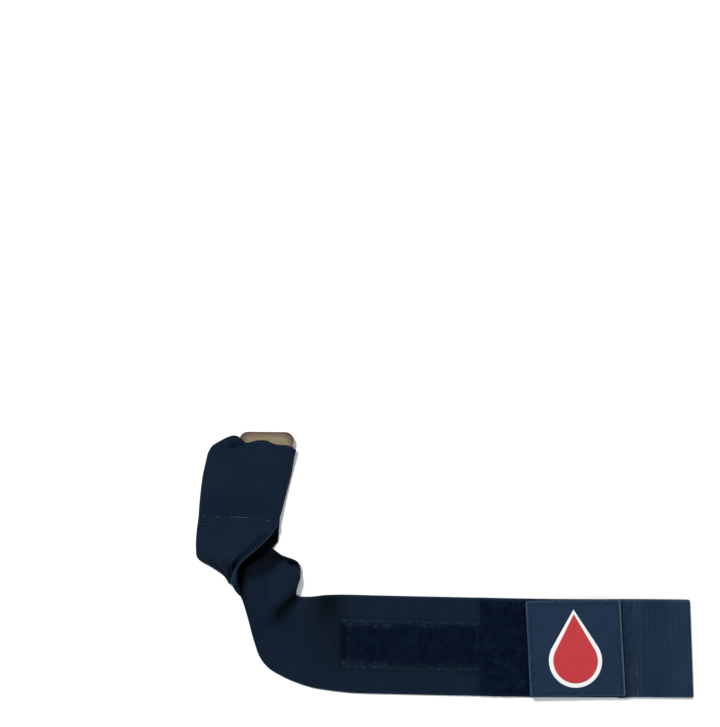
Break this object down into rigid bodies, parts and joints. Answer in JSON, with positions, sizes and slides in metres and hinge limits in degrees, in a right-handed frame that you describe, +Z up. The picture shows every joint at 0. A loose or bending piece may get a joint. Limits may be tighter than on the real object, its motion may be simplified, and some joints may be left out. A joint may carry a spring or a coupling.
{
  "type": "tourniquet strap",
  "caption": "Wide ribbed tourniquet strap with hook strip, loop tail, emblem patch, folded pull tab and a stiff pressure plate in a sewn pocket, half twisted.",
  "frame": {"origin": "centre of the bounding box on the surface that the strap lies on", "axes": "+X along the straight run towards the pull tab, +Y across it towards the pocket's mouth, +Z up from the surface"},
  "size_m": [0.2913, 0.1527, 0.0194],
  "materials": {
    "web": "ribbed webbing, matte",
    "loop": "brushed loop pile",
    "hook": "moulded hooks",
    "thread": "bonded thread",
    "pale_thread": "bonded thread, pale",
    "patch": "woven patch cloth",
    "mark_white": "soft moulded film",
    "mark_red": "soft moulded film",
    "plate": "fibre-filled, satin"
  },
  "bodies": {
    "strap": {"sleeve_front": "web", "sleeve_backing": "web", "sleeve_stop_stitching": "pale_thread", "band_twist": "web", "band_run": "web", "hook_tape": "loop", "hook_field": "hook", "hook_strip_stitching": "thread"},
    "tail": {"band_tail": "web", "loop_tape": "loop", "loop_pile": "loop", "loop_panel_stitching": "thread", "tab_hem": "web"},
    "patch": {"patch_hook_backing": "hook", "patch_base": "patch", "patch_border_stitching": "thread", "mark_outline": "mark_white", "mark_fill": "mark_red"},
    "tab": {"pull_tab": "web", "pull_tab_stitching": "pale_thread"},
    "plate": {"pressure_plate": "plate"}
  },
  "joints": [
    {"name": "plate_slide", "type": "slide", "parent": "strap", "child": "plate", "axis": [0.0523, 0.9986, 0], "range_m": [-0.003, 0.03]},
    {"name": "tail_flex", "type": "hinge", "parent": "strap", "child": "tail", "pos_m": [0.0222, -0.0472, 0.0032], "axis": [0, -1, 0], "range_deg": [0, 120]},
    {"name": "patch_peel", "type": "slide", "parent": "tail", "child": "patch", "axis": [0, 0, 1], "range_m": [0, 0.03]},
    {"name": "tab_flex", "type": "hinge", "parent": "tail", "child": "tab", "pos_m": [0.1119, -0.0472, 0.0032], "axis": [0, -1, 0], "range_deg": [0, 90]}
  ]
}
